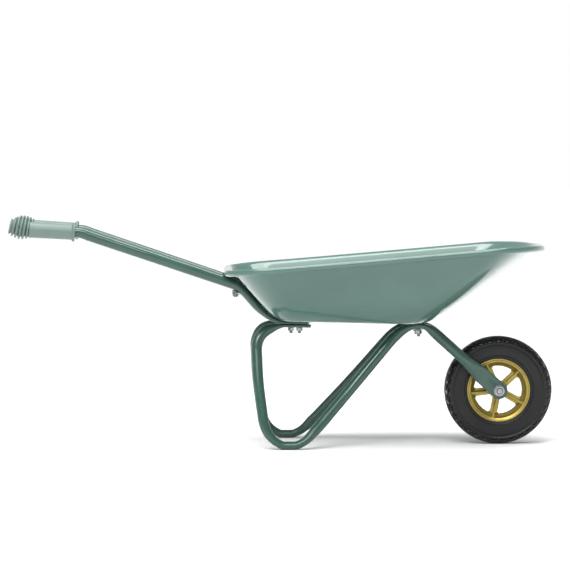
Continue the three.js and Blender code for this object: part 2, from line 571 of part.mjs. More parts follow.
for (const [side, sign] of [['left', 1], ['right', -1]]) {
  const g = lathe([[AXLE_R + GAP, -12], [BUSH_R, -12], [BUSH_R, 0.3], [8.5, 0.3], [8.5, 2.0], [AXLE_R + GAP, 2.0], [AXLE_R + GAP, -12]], 16);
  place(`hub_bush_${side}`, along(g, [0, sign * HUB_HALF, 0], [0, sign, 0]), BUSH, wheel);
}

barrow.position.x = X_SHIFT;
export default barrow;
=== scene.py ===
import math
import random

import bmesh
import bpy
import numpy as np
from mathutils import Matrix, Vector


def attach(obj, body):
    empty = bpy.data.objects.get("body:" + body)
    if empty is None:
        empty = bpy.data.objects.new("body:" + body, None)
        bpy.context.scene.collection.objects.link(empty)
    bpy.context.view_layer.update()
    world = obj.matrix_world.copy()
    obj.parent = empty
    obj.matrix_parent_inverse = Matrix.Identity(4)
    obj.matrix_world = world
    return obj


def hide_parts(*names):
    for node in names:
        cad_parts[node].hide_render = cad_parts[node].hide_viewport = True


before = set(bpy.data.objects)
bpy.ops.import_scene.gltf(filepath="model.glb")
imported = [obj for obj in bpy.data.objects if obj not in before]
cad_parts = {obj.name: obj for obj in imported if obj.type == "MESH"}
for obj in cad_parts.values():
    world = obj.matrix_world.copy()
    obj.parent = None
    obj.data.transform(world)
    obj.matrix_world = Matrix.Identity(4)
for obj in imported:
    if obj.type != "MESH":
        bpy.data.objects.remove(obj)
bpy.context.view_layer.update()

SHIFT = 0.34                 # the CAD model's own shift along X, in mm
SCENE = bpy.context.scene

# ------------------------------------------------------------------ numbers
# Millimetres, as in the CAD part: +X toward the wheel, +Y left, +Z up.
GAP = 0.3
SHEET = 1.0
PLATE_T, LEG_PLATE_T, FORK_SEAT_T = 3.0, 5.0, 9.0
FLOOR_Z0, FLOOR_SLOPE = 184.4, -0.0178
BEAD_R, WIRE_R, BEAD_OUT, WALL_TOP_DROP = 4.6, 2.9, 10.5, 5.0
HANDLE_Y = 50.0
LEG_PLATE_Y = 50.0
FORK_BOLT = (201.5, 34.0)
REAR_BOLT_X = (12.6, 24.8)
AXLE = (321.2, 80.0)
FORK_Y, FORK_T = 26.0, 3.0
TILT = math.atan(-FLOOR_SLOPE)
DOWN = np.array([-math.sin(TILT), 0.0, -math.cos(TILT)])


def floor_z(x):
    return FLOOR_Z0 + FLOOR_SLOPE * x


# ------------------------------------------------------------- mesh helpers
def unit(v):
    v = np.asarray(v, float)
    return v / np.linalg.norm(v)


def mesh_object(name, verts, faces, sharp=32.0, shift=True):
    v = np.array(verts, float).reshape(-1, 3)
    if shift:
        v = v + np.array([SHIFT, 0, 0])
    me = bpy.data.meshes.new(name)
    me.from_pydata((v * 0.001).tolist(), [], [tuple(int(i) for i in f) for f in faces])
    me.update()
    me.calc_loop_triangles()
    tri = np.zeros(len(me.loop_triangles) * 3, np.int32)
    me.loop_triangles.foreach_get("vertices", tri)
    p = (v * 0.001)[tri.reshape(-1, 3)]
    if np.einsum("ij,ij->i", p[:, 0], np.cross(p[:, 1], p[:, 2])).sum() < 0:
        me.flip_normals()
    o = bpy.data.objects.new(name, me)
    SCENE.collection.objects.link(o)
    shade(o, sharp)
    return o


def shade(o, sharp):
    o.data.shade_smooth()
    o.data.set_sharp_from_angle(angle=math.radians(sharp))


def grid_faces(r, n, start=0, wrap_rings=False):
    """Quads over r rings of n points, each ring closed."""
    f = []
    for i in range(r if wrap_rings else r - 1):
        a, b = start + i * n, start + ((i + 1) % r) * n
        for k in range(n):
            j = (k + 1) % n
            f.append((a + k, a + j, b + j, b + k))
    return f


def loft(rings, cap_a=True, cap_b=True, wrap=False):
    rings = [np.asarray(r, float) for r in rings]
    n = len(rings[0])
    v = np.concatenate(rings)
    f = grid_faces(len(rings), n, wrap_rings=wrap)
    if not wrap:
        if cap_a:
            v = np.concatenate([v, rings[0].mean(0)[None]])
            c = len(v) - 1
            f += [(c, (k + 1) % n, k) for k in range(n)]
        if cap_b:
            v = np.concatenate([v, rings[-1].mean(0)[None]])
            c = len(v) - 1
            s = (len(rings) - 1) * n
            f += [(c, s + k, s + (k + 1) % n) for k in range(n)]
    return v, f


def pchip(x, y, q):
    """Monotone cubic through (x, y), at q."""
    x, y, q = (np.asarray(t, float) for t in (x, y, q))
    h = np.diff(x)
    d = np.diff(y) / h
    m = np.zeros(len(x))
    for i in range(1, len(x) - 1):
        if d[i - 1] * d[i] > 0:
            w1, w2 = 2 * h[i] + h[i - 1], h[i] + 2 * h[i - 1]
            m[i] = (w1 + w2) / (w1 / d[i - 1] + w2 / d[i])
    m[0], m[-1] = d[0], d[-1]
    i = np.clip(np.searchsorted(x, q, side="right") - 1, 0, len(x) - 2)
    t = (q - x[i]) / h[i]
    return (
        (1 + 2 * t) * (1 - t) ** 2 * y[i]
        + t * (1 - t) ** 2 * h[i] * m[i]
        + t * t * (3 - 2 * t) * y[i + 1]
        + t * t * (t - 1) * h[i] * m[i + 1]
    )


def frame_along(direction):
    """Rotation whose +Z is the direction."""
    z = unit(direction)
    ref = np.array([0, 1.0, 0]) if abs(z[1]) < 0.9 else np.array([1.0, 0, 0])
    x = unit(np.cross(ref, z))
    return np.stack([x, np.cross(z, x), z], axis=1)


def moved(v, at, direction, spin=0.0):
    """Points made along +Z, turned so +Z is the direction, moved to a place."""
    c, s = math.cos(spin), math.sin(spin)
    r = np.array([[c, -s, 0], [s, c, 0], [0, 0, 1]])
    return np.asarray(v, float) @ r.T @ frame_along(direction).T + np.asarray(at, float)


def revolve(profile, n, closed=False, ripple=None):
    """Rings about +Z from (radius, height) pairs."""
    th = np.arange(n) / n * 2 * math.pi
    rings = []
    for r, z in profile:
        rings.append(np.stack([r * np.cos(th), r * np.sin(th), np.full(n, z)], 1))
    return rings


def rounded(profile, closed, radius=0.25, steps=3):
    """Rounds the corners of a (radius, height) outline."""
    p = [np.asarray(q, float) for q in profile]
    out = []
    count = len(p)
    for i in range(count):
        if not closed and i in (0, count - 1):
            out.append(tuple(p[i]))
            continue
        a, b, c = p[i - 1], p[i], p[(i + 1) % count]
        la, lc = np.linalg.norm(a - b), np.linalg.norm(c - b)
        r = min(radius, la * 0.45, lc * 0.45)
        s, e = b + (a - b) / la * r, b + (c - b) / lc * r
        for k in range(steps + 1):
            t = k / steps
            out.append(tuple((1 - t) ** 2 * s + 2 * t * (1 - t) * b + t * t * e))
    return out


def boolean(o, cutters, op="DIFFERENCE"):
    for c in cutters:
        m = o.modifiers.new("b", "BOOLEAN")
        m.operation, m.object, m.solver = op, c, "EXACT"
    dg = bpy.context.evaluated_depsgraph_get()
    me = bpy.data.meshes.new_from_object(o.evaluated_get(dg))
    old = o.data
    o.modifiers.clear()
    o.data = me
    bpy.data.meshes.remove(old)
    for c in cutters:
        d = c.data
        bpy.data.objects.remove(c)
        bpy.data.meshes.remove(d)
    return o


def join_data(parts):
    """One vertex and face list from several."""
    v, f, n = [], [], 0
    for pv, pf in parts:
        v.append(np.asarray(pv, float))
        f += [tuple(i + n for i in face) for face in pf]
        n += len(pv)
    return np.concatenate(v), f


# ---------------------------------------------------------------- materials
class Mat:
    """A procedural material, in object coordinates (metres)."""

    def __init__(self, name):
        self.m = bpy.data.materials.new(name)
        self.m.use_nodes = True
        self.t = self.m.node_tree
        self.bsdf = self.t.nodes["Principled BSDF"]
        self.coord = self.t.nodes.new("ShaderNodeTexCoord")

    def node(self, kind, **props):
        n = self.t.nodes.new(kind)
        for k, v in props.items():
            setattr(n, k, v)
        return n

    def link(self, a, b):
        self.t.links.new(a, b)

    def noise(self, scale, detail=2.0, rough=0.5, stretch=None, distortion=0.0):
        n = self.node("ShaderNodeTexNoise")
        n.inputs["Scale"].default_value = scale
        n.inputs["Detail"].default_value = detail
        n.inputs["Roughness"].default_value = rough
        n.inputs["Distortion"].default_value = distortion
        src = self.coord.outputs["Object"]
        if stretch:
            mp = self.node("ShaderNodeMapping")
            mp.inputs["Scale"].default_value = stretch
            self.link(src, mp.inputs["Vector"])
            src = mp.outputs["Vector"]
        self.link(src, n.inputs["Vector"])
        return n.outputs["Fac"]

    def ramp(self, fac, stops, mode="LINEAR"):
        r = self.node("ShaderNodeValToRGB")
        r.color_ramp.interpolation = mode
        els = r.color_ramp.elements
        while len(els) < len(stops):
            els.new(0.5)
        for e, (p, c) in zip(els, stops):
            e.position = p
            e.color = (*c, 1) if len(c) == 3 else c
        self.link(fac, r.inputs["Fac"])
        return r.outputs["Color"]

    def math(self, op, a, b=None, c=None):
        n = self.node("ShaderNodeMath", operation=op)
        for i, v in enumerate((a, b, c)):
            if v is None:
                continue
            if isinstance(v, (int, float)):
                n.inputs[i].default_value = v
            else:
                self.link(v, n.inputs[i])
        return n.outputs[0]

    def mix(self, fac, a, b, mode="MIX"):
        n = self.node("ShaderNodeMix", data_type="RGBA", blend_type=mode)
        for i, v in ((0, fac), (6, a), (7, b)):
            if isinstance(v, (int, float)):
                n.inputs[i].default_value = v
            elif isinstance(v, tuple):
                n.inputs[i].default_value = (*v, 1)
            else:
                self.link(v, n.inputs[i])
        return n.outputs[2]

    def bump(self, height, distance, strength=1.0, normal=None):
        b = self.node("ShaderNodeBump")
        b.inputs["Distance"].default_value = distance
        b.inputs["Strength"].default_value = strength
        self.link(height, b.inputs["Height"])
        if normal is not None:
            self.link(normal, b.inputs["Normal"])
        return b.outputs["Normal"]

    def set(self, **kw):
        for k, v in kw.items():
            s = self.bsdf.inputs[k.replace("_", " ")]
            if isinstance(v, (int, float)):
                s.default_value = v
            elif isinstance(v, tuple):
                s.default_value = (*v, 1) if len(v) == 3 else v
            else:
                self.link(v, s)
        return self


def srgb(r, g, b):
    def f(c):
        c /= 255
        return c / 12.92 if c <= 0.04045 else ((c + 0.055) / 1.055) ** 2.4

    return (f(r), f(g), f(b))


def scaled(c, k):
    return tuple(min(1.0, x * k) for x in c)


def material_tray():
    m = Mat("tray_paint")
    base = srgb(66, 97, 89)
    cloud = m.noise(14, 3)
    col = m.ramp(cloud, [(0.3, scaled(base, 0.93)), (0.7, scaled(base, 1.06))])
    fleck = m.noise(1500, 1)
    col = m.mix(m.ramp(fleck, [(0.66, (0, 0, 0)), (0.74, (0.25,) * 3)]), col, scaled(base, 1.3))
    peel = m.noise(420, 2, 0.45)
    wave = m.noise(22, 2)
    n = m.bump(peel, 0.00025, 0.35)
    n = m.bump(wave, 0.004, 0.12, n)
    rough = m.ramp(m.noise(35, 4), [(0.3, (0.30,) * 3), (0.7, (0.40,) * 3)])
    m.set(Base_Color=col, Roughness=rough, Normal=n, Metallic=0.0)
    m.set(Coat_Weight=0.8, Coat_Roughness=0.08, Specular_IOR_Level=0.2)
    return m.m


def material_tube():
    m = Mat("tube_paint")
    base = srgb(45, 75, 66)
    col = m.ramp(m.noise(18, 3), [(0.3, scaled(base, 0.9)), (0.7, scaled(base, 1.08))])
    peel = m.noise(520, 2, 0.45)
    n = m.bump(peel, 0.0002, 0.3)
    n = m.bump(m.noise(60, 2), 0.001, 0.1, n)
    rough = m.ramp(m.noise(50, 4), [(0.3, (0.22,) * 3), (0.7, (0.32,) * 3)])
    m.set(Base_Color=col, Roughness=rough, Normal=n, Coat_Weight=0.65, Coat_Roughness=0.05, Specular_IOR_Level=0.15)
    return m.m


def material_grip():
    m = Mat("grip_plastic")
    base = srgb(93, 111, 106)
    col = m.ramp(m.noise(45, 3), [(0.3, scaled(base, 0.94)), (0.7, scaled(base, 1.05))])
    n = m.bump(m.noise(1400, 2, 0.6), 0.00012, 0.5)
    n = m.bump(m.noise(90, 2), 0.0008, 0.12, n)
    rough = m.ramp(m.noise(120, 4), [(0.3, (0.42,) * 3), (0.7, (0.55,) * 3)])
    m.set(Base_Color=col, Roughness=rough, Normal=n)
    m.set(Subsurface_Weight=0.0)
    return m.m


def material_zinc():
    m = Mat("zinc")
    base = srgb(158, 161, 164)
    col = m.ramp(m.noise(260, 4, 0.6), [(0.3, scaled(base, 0.8)), (0.7, scaled(base, 1.05))])
    n = m.bump(m.noise(900, 3, 0.6), 0.0001, 0.35)
    rough = m.ramp(m.noise(400, 3), [(0.3, (0.2,) * 3), (0.7, (0.36,) * 3)])
    m.set(Base_Color=col, Roughness=rough, Normal=n, Metallic=1.0)
    return m.m


def material_gold():
    m = Mat("wheel_gold")
    base = srgb(158, 141, 72)
    col = m.ramp(m.noise(60, 4, 0.6), [(0.3, scaled(base, 0.85)), (0.7, scaled(base, 1.12))])
    sparkle = m.noise(2600, 1)
    col = m.mix(m.ramp(sparkle, [(0.6, (0, 0, 0)), (0.72, (0.5,) * 3)]), col, scaled(base, 1.5))
    n = m.bump(m.noise(650, 3, 0.55), 0.00025, 0.4)
    rough = m.ramp(m.noise(90, 4), [(0.3, (0.28,) * 3), (0.7, (0.4,) * 3)])
    m.set(Base_Color=col, Roughness=rough, Normal=n, Metallic=0.65)
    return m.m


def material_rubber():
    m = Mat("tyre")
    base = srgb(17, 17, 19)
    col = m.ramp(m.noise(30, 5, 0.6), [(0.3, scaled(base, 0.8)), (0.7, scaled(base, 1.15))])
    dust = m.noise(12, 6, 0.65)
    col = m.mix(m.ramp(dust, [(0.5, (0, 0, 0)), (0.8, (0.06,) * 3)]), col, srgb(80, 79, 75))
    n = m.bump(m.noise(1100, 3, 0.6), 0.00012, 0.4)
    # The moulded tread (outside 70 mm from the axle) is glossier than the sidewall.
    sep = m.node("ShaderNodeSeparateXYZ")
    m.link(m.coord.outputs["Object"], sep.inputs[0])
    dx = m.math("SUBTRACT", sep.outputs[0], (AXLE[0] + SHIFT) * 0.001)
    dz = m.math("SUBTRACT", sep.outputs[2], AXLE[1] * 0.001)
    rr = m.math("SQRT", m.math("ADD", m.math("MULTIPLY", dx, dx), m.math("MULTIPLY", dz, dz)))
    edge = m.math("MULTIPLY", m.math("SUBTRACT", rr, 0.0695), 900.0)
    edge = m.math("MINIMUM", m.math("MAXIMUM", edge, 0.0), 1.0)
    rough = m.math("SUBTRACT", m.math("ADD", m.math("MULTIPLY", m.noise(150, 4), 0.12), 0.40), m.math("MULTIPLY", edge, 0.3))
    m.set(Base_Color=col, Roughness=rough, Normal=n, Specular_IOR_Level=0.32)
    return m.m


def material_wire():
    m = Mat("wire")
    base = srgb(130, 134, 132)
    col = m.ramp(m.noise(120, 4), [(0.3, scaled(base, 0.8)), (0.7, scaled(base, 1.1))])
    n = m.bump(m.noise(700, 3), 0.0001, 0.4)
    m.set(Base_Color=col, Roughness=m.ramp(m.noise(200, 3), [(0.3, (0.35,) * 3), (0.7, (0.5,) * 3)]), Normal=n, Metallic=0.9)
    return m.m


def material_bush():
    m = Mat("bush")
    base = srgb(34, 36, 38)
    col = m.ramp(m.noise(200, 3), [(0.3, scaled(base, 0.85)), (0.7, scaled(base, 1.2))])
    n = m.bump(m.noise(1200, 2), 0.0001, 0.4)
    m.set(Base_Color=col, Roughness=m.ramp(m.noise(200, 3), [(0.3, (0.45,) * 3), (0.7, (0.6,) * 3)]), Normal=n)
    return m.m


MATERIAL = {
    "tray_paint": material_tray(),
    "tube_paint": material_tube(),
    "grip_plastic": material_grip(),
    "zinc": material_zinc(),
    "wheel_gold": material_gold(),
    "tyre": material_rubber(),
    "wire": material_wire(),
    "bush": material_bush(),
}
PIECES = []


def piece(o, slot, body, *nodes):
    o.data.materials.clear()
    o.data.materials.append(MATERIAL[slot])
    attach(o, body)
    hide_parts(*nodes)
    PIECES.append(o)
    return o


# ------------------------------------------------------------------ the tray
RIM = [(-90, 260.6), (-63, 263.4), (22, 270.2), (166, 282.4), (281, 292.4), (330, 296.4), (360, 297), (395, 295.4)]


def rim_z(x):
    return pchip([p[0] for p in RIM], [p[1] for p in RIM], np.clip(x, -90, 395))


def outline(back, front, half, corner, front_start, n, ns=26, nf=56, nc=16, nb=10):
    pts = []
    x0 = back + corner
    for i in range(ns):
        pts.append((x0 + (front_start - x0) * i / ns, half, 0, 1))
    for i in range(nf + 1):
        th = i / nf * math.pi / 2
        c, s = max(math.cos(th), 0.0), math.sin(th)
        rx = front - front_start
        px, py = rx * s ** (2 / n), half * c ** (2 / n)
        g = unit([(px / rx) ** (n - 1) / rx, (py / half) ** (n - 1) / half])
        pts.append((front_start + px, py, g[0], g[1]))
    rear = [(back, (half - corner) * i / nb, -1, 0) for i in range(nb + 1)]
    for i in range(1, nc):
        th = i / nc * math.pi / 2
        rear.append((back + corner - corner * math.cos(th), half - corner + corner * math.sin(th), -math.cos(th), math.sin(th)))
    left = rear + pts
    right = [(x, -y, a, -b) for x, y, a, b in left[1:-1][::-1]]
    return np.array(left + right, float)


FLAT = outline(6.8, 208, 72, 12, 176, 2.6)
FOOT = outline(-8.5, 222, 95, 32, 168, 2.6)
TOP = outline(-71, 373.5, 154.88, 56, 298, 2.25)


def tray():
    p0 = np.stack([FLAT[:, 0], FLAT[:, 1], floor_z(FLAT[:, 0]) + SHEET], 1)
    p1 = np.stack([FOOT[:, 0], FOOT[:, 1], floor_z(FOOT[:, 0]) + SHEET], 1)
    top = np.stack([TOP[:, 0], TOP[:, 1], rim_z(TOP[:, 0]) - WALL_TOP_DROP], 1)
    p2 = p1 + (top - p1) * 0.34
    c = np.array([100, 0, floor_z(100) + SHEET])
    rings = [c + (p0 - c) * f for f in (0.12, 0.35, 0.6, 0.82, 0.95)]
    for v in np.linspace(0, 1, 17):
        rings.append((1 - v) ** 2 * p0 + 2 * v * (1 - v) * p1 + v * v * p2)
    for g in np.linspace(0.34, 1, 12)[1:]:
        rings.append(p1 + (top - p1) * g)

    def out(d, z):
        x, y = TOP[:, 0] + TOP[:, 2] * d, TOP[:, 1] + TOP[:, 3] * d
        return np.stack([x, y, rim_z(x) + z], 1)

    for t in np.linspace(0, 1, 9)[1:]:
        d = 2 * t * (1 - t) * 4.2 + t * t * BEAD_OUT
        z = (1 - t) ** 2 * -5.0
        rings.append(out(d, z))
    for k in range(1, 25):
        th = math.pi / 2 - k / 24 * math.pi * 1.42
        rings.append(out(BEAD_OUT + BEAD_R * math.cos(th), -BEAD_R + BEAD_R * math.sin(th)))
    n = len(p0)
    v = np.concatenate(rings + [c[None]])
    f = grid_faces(len(rings), n) + [(len(v) - 1, (k + 1) % n, k) for k in range(n)]
    # Vertex normals of the open skin give the second side of the sheet.
    tmp = bpy.data.meshes.new("skin")
    tmp.from_pydata(v.tolist(), [], f)
    tmp.update()
    nor = np.zeros(len(v) * 3)
    tmp.vertex_normals.foreach_get("vector", nor)
    nor = nor.reshape(-1, 3)
    if nor[-1][2] > 0:
        nor = -nor
    bpy.data.meshes.remove(tmp)
    m = len(v)
    v2 = np.concatenate([v, v + nor * SHEET])
    f2 = [tuple(q) for q in f] + [tuple(i + m for i in q[::-1]) for q in f]
    s = (len(rings) - 1) * n
    for k in range(n):
        a, b = s + k, s + (k + 1) % n
        f2.append((b, a, a + m, b + m))
    o = mesh_object("tray", v2, f2, 40)
    cutters = []
    for sign in (1, -1):
        for x, y in ((REAR_BOLT_X[0], LEG_PLATE_Y), (REAR_BOLT_X[1], LEG_PLATE_Y), FORK_BOLT):
            cutters.append(peg((x, sign * y, floor_z(x) + 0.5), DOWN, 2.9, 6))
        cutters.append(peg(wall_point(sign * HANDLE_Y, 18.2), WALL_AXIS, 3.0, 7))
    boolean(o, cutters)
    shade(o, 40)
    return o


def peg(at, direction, r, length, n=32):
    rings = revolve([(r, -length / 2), (r, length / 2)], n)
    v, f = loft(rings)
    return mesh_object("cutter", moved(v, at, direction), f)


def rim_wire():
    n = 18
    x, y = TOP[:, 0] + TOP[:, 2] * BEAD_OUT, TOP[:, 1] + TOP[:, 3] * BEAD_OUT
    z = rim_z(x) - BEAD_R
    rings = []
    for i in range(len(TOP)):
        th = np.arange(n) / n * 2 * math.pi
        rings.append(np.stack([
            x[i] + TOP[i, 2] * WIRE_R * np.cos(th),
            y[i] + TOP[i, 3] * WIRE_R * np.cos(th),
            z[i] + WIRE_R * np.sin(th),
        ], 1))
    v, f = loft(rings, wrap=True)
    return mesh_object("rim_wire", v, f, 60)


# ---------------------------------------------------------------- bent tubes
def section(c, tan, a, b, e, n=56):
    tan = unit(tan)
    lat = unit(np.array([0, 1.0, 0]) - tan * tan[1])
    up = np.cross(tan, lat)
    th = np.linspace(0, 2 * math.pi, 361)
    co, si = np.cos(th), np.sin(th)
    u = a * np.sign(co) * np.abs(co) ** e
    w = b * np.sign(si) * np.abs(si) ** e
    s = np.concatenate([[0], np.cumsum(np.hypot(np.diff(u), np.diff(w)))])
    q = np.arange(n) / n * s[-1]
    uq, wq = np.interp(q, s, u), np.interp(q, s, w)
    return c + uq[:, None] * lat + wq[:, None] * up


def sweep(stations, fixed=None, step=1.6, long_step=9.0, n=56):
    """Closed tube through stations [x, y, z, a, b, e]; fixed gives the direction at some of them."""
    st = np.array(stations, float)
    fixed = fixed or {}
    P = st[:, :3]
    L = np.linalg.norm(np.diff(P, axis=0), axis=1)
    D = np.diff(P, axis=0) / L[:, None]
    T = np.zeros_like(P)
    T[0], T[-1] = D[0], D[-1]
    for i in range(1, len(P) - 1):
        l0, l1 = L[i - 1], L[i]
        if l0 > 24 and l1 <= 24:
            T[i] = D[i - 1]
        elif l1 > 24 and l0 <= 24:
            T[i] = D[i]
        else:
            T[i] = unit(D[i - 1] * l1 + D[i] * l0)
    for i, d in fixed.items():
        T[i] = unit(d)
    S = np.concatenate([[0], np.cumsum(L)])
    pos, tan, par = [], [], []
    for i in range(len(L)):
        k = max(1, math.ceil(L[i] / (step if L[i] <= 24 else long_step)))
        for t in np.arange(k) / k:
            m0, m1 = T[i] * L[i], T[i + 1] * L[i]
            pos.append((2 * t**3 - 3 * t**2 + 1) * P[i] + (t**3 - 2 * t**2 + t) * m0 + (3 * t**2 - 2 * t**3) * P[i + 1] + (t**3 - t**2) * m1)
            tan.append((6 * t * t - 6 * t) * P[i] + (3 * t * t - 4 * t + 1) * m0 + (6 * t - 6 * t * t) * P[i + 1] + (3 * t * t - 2 * t) * m1)
            par.append(S[i] + t * L[i])
    pos.append(P[-1])
    tan.append(T[-1])
    par.append(S[-1])
    abe = [pchip(S, st[:, 3 + j], par) for j in range(3)]
    return [section(pos[i], tan[i], abe[0][i], abe[1][i], abe[2][i], n) for i in range(len(pos))]


def handle_y(x):
    return HANDLE_Y + max(0.0, -64 - x) * 22 / 336


def hz(x):
    return floor_z(x) - GAP - PLATE_T / 2


HANDLE = [
    (-382.4, 320.4, 8, 8, 1), (-304.6, 315.8, 8, 8, 1), (-297.0, 315.3, 8, 8, 1), (-291.0, 313.7, 8, 8, 1),
    (-284.5, 311.1, 8, 8, 1), (-178.0, 275.2, 8, 8, 1), (-73.6, 239.9, 8, 8, 1), (-69.0, 238.1, 8, 7.9, 1),
    (-64.6, 235.3, 8.1, 7.5, 1), (-58.2, 229.6, 8.5, 6.7, 1), (-44.5, 214.5, 8.7, 6.7, 1), (-37.0, 205.8, 8.9, 6.4, 0.95),
    (-28.9, 197.8, 9.3, 5.4, 0.9), (-18.6, 190.2, 10, 4.2, 0.8), (-6.8, 184.9, 11, 2.6, 0.6), (3.5, hz(3.5), 11.4, 1.5, 0.4),
    (30.6, hz(30.6), 11.4, 1.5, 0.4), (33.0, hz(33.0), 11.0, 1.5, 0.4), (35.2, hz(35.2), 9.9, 1.5, 0.4),
    (36.7, hz(36.7), 8.4, 1.45, 0.42), (37.6, hz(37.6), 6.9, 1.3, 0.45), (38.0, hz(38.0), 5.6, 1.1, 0.5),
]


def handle(sign):
    st = [(x, sign * handle_y(x), z, a, b, e) for x, z, a, b, e in HANDLE]
    v, f = loft(sweep(st))
    return mesh_object("handle", v, f, 48)


def lz(x):
    return floor_z(x) - GAP - PLATE_T - GAP - LEG_PLATE_T / 2


def fz(x, b):
    return floor_z(x) - GAP - b


LEG = [
    (41.7, 50, lz(41.7), 5.6, 2.1, 0.55), (41.2, 50, lz(41.2), 7.6, 2.4, 0.5), (39.2, 50, lz(39.2), 9.8, 2.5, 0.45), (36.8, 50, lz(36.8), 10.9, 2.5, 0.45),
    (34.5, 50, lz(34.5), 11.2, 2.5, 0.45), (4.0, 50, lz(4), 11.2, 2.5, 0.5), (-8.4, 51.0, 176.4, 9.7, 4.4, 0.8),
    (-18.7, 53.5, 173.4, 8.4, 7.2, 1), (-28.3, 57.5, 168.0, 8, 8, 1), (-34.4, 61.0, 160.0, 8, 8, 1), (-37.5, 64.0, 151.4, 8, 8, 1),
    (-38.4, 67.0, 142.0, 8, 8, 1), (-36.3, 83.0, 99.1, 8, 8, 1), (-29.9, 101.0, 46.7, 8, 8, 1), (-26.4, 105.0, 31.6, 8.3, 7.4, 1),
    (-20.2, 107.2, 20.2, 8.7, 6.8, 1), (-10.0, 108.0, 11.0, 9, 6.2, 1), (2.0, 108.0, 6.0, 9, 6, 1), (16.0, 108.0, 6.0, 9, 6, 1),
    (27.7, 107.0, 10.0, 9, 6.2, 1), (36.8, 103.6, 16.6, 8.7, 6.8, 1), (44.7, 99.0, 24.9, 8.3, 7.6, 1), (58.3, 88.5, 39.0, 8, 8, 1),
    (101.9, 61.0, 88.0, 8, 8, 1), (155.6, 39.5, 150.2, 8, 8, 1), (166.5, 36.2, 161.6, 8, 7.9, 1), (176.5, 34.6, 169.4, 8.4, 7.0, 1),
    (187.0, 34.0, 174.2, 9.4, 5.2, 0.8), (194.5, 34.0, fz(194.5, 4.5), 9.8, 4.5, 0.7), (209.0, 34.0, fz(209, 4.5), 9.8, 4.5, 0.7),
    (217.5, 34.0, 172.0, 9, 6.2, 0.9), (226.0, 34.0, 165.6, 8.2, 7.8, 1), (234.0, 34.0, 158.3, 8, 8, 1), (263.9, 32.8, 131.4, 8, 8, 1),
    (277.0, 30.6, 119.6, 6.6, 9.4, 0.95), (289.0, 28.0, 108.8, 3.6, 11.4, 0.75), (297.0, 26.25, 101.6, 1.8, 12.2, 0.5), (299.0, 26.0, 99.8, 1.5, 12.3, 0.45), (321.2, 26.0, 80.0, 1.5, 12.3, 0.45),
]


def leg(sign):
    st = [(x, sign * y, z, a, b, e) for x, y, z, a, b, e in LEG]
    d = unit([321.2 - 299.0, 0, 80.0 - 99.8])
    # The round end of the flattened plate, struck about the axle.
    end = np.array([321.2, sign * 26.0, 80.0])
    for s in (4.0, 7.0, 9.2, 10.8, 11.8, 12.35, 12.6):
        h = math.sqrt(max(12.62**2 - s * s, 0.4)) * (12.3 / 12.62)
        p = end + d * s
        st.append((p[0], p[1], p[2], 1.5 if s < 12 else 1.3, h, 0.45))
    k = len(LEG)
    fixed = {17: (1, 0, 0), 18: (1, 0, 0)}
    for i in range(k - 1, len(st)):
        fixed[i] = d
    fixed[k - 2] = d
    rings = sweep(st, fixed, n=64)
    v, f = loft(rings)
    # A punched oval dimple on the outer face of the plate.
    c = np.array([312.6, 94.7])
    along = np.array([d[0], d[2]])
    across = np.array([-along[1], along[0]])
    rel = v[:, [0, 2]] - c
    q = np.hypot(rel @ along / 3.2, rel @ across / 4.6)
    outer = sign * v[:, 1] > 26.2
    push = np.where(outer & (q < 1.35), 0.75 * 0.5 * (1 + np.cos(np.clip(q / 1.35, 0, 1) * math.pi)), 0)
    v[:, 1] -= sign * push
    return mesh_object("leg", v, f, 48)


